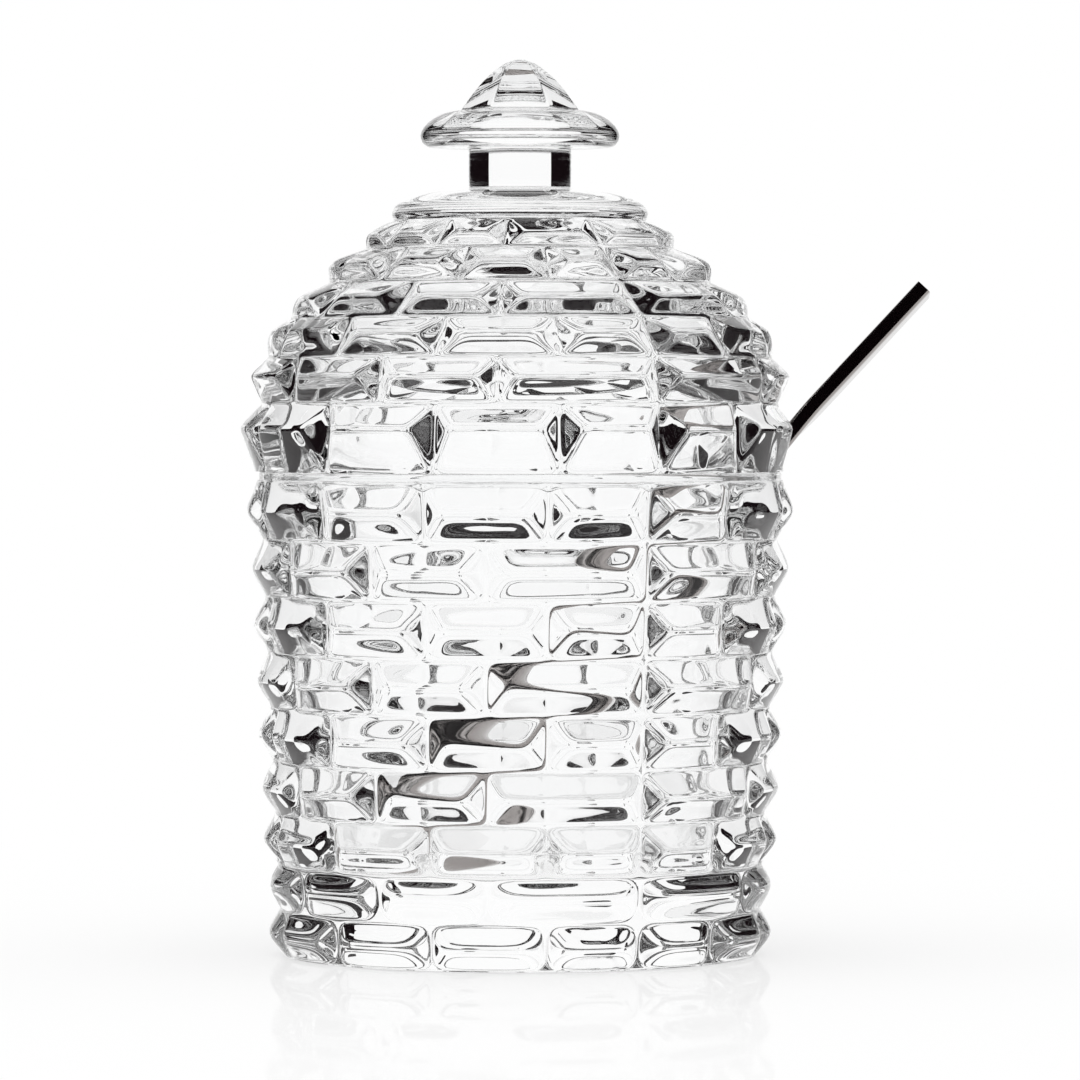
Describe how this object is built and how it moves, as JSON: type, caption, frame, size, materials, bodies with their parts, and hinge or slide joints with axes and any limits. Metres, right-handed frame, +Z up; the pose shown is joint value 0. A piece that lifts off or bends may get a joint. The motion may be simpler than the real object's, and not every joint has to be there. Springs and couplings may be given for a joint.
{
  "type": "honey pot",
  "caption": "Clear pressed-glass beehive honey pot with staggered brick facets, a lift-off domed lid with a knob, and a spoon through the lid's notch.",
  "frame": {"origin": "centre of the jar's flat base, on the surface that it stands on", "axes": "+Z up along the axis of the jar and the lid, -Y towards the viewer of the picture, +X to the right, where the spoon leans out"},
  "size_m": [0.1163, 0.094, 0.1502],
  "materials": {
    "jar_glass": "clear pressed crystal, fire-polished",
    "lid_glass": "clear pressed crystal, fire-polished",
    "spoon_steel": "polished stainless steel"
  },
  "bodies": {
    "jar": {"jar": "jar_glass"},
    "lid": {"lid": "lid_glass"},
    "spoon": {"spoon": "spoon_steel"}
  },
  "joints": [
    {"name": "lid_lift", "type": "slide", "parent": "jar", "child": "lid", "axis": [0, 0, 1], "range_m": [0, 0.1]},
    {"name": "spoon_slide", "type": "slide", "parent": "jar", "child": "spoon", "axis": [0.6817, 0.0477, 0.73], "range_m": [0, 0.045]}
  ]
}
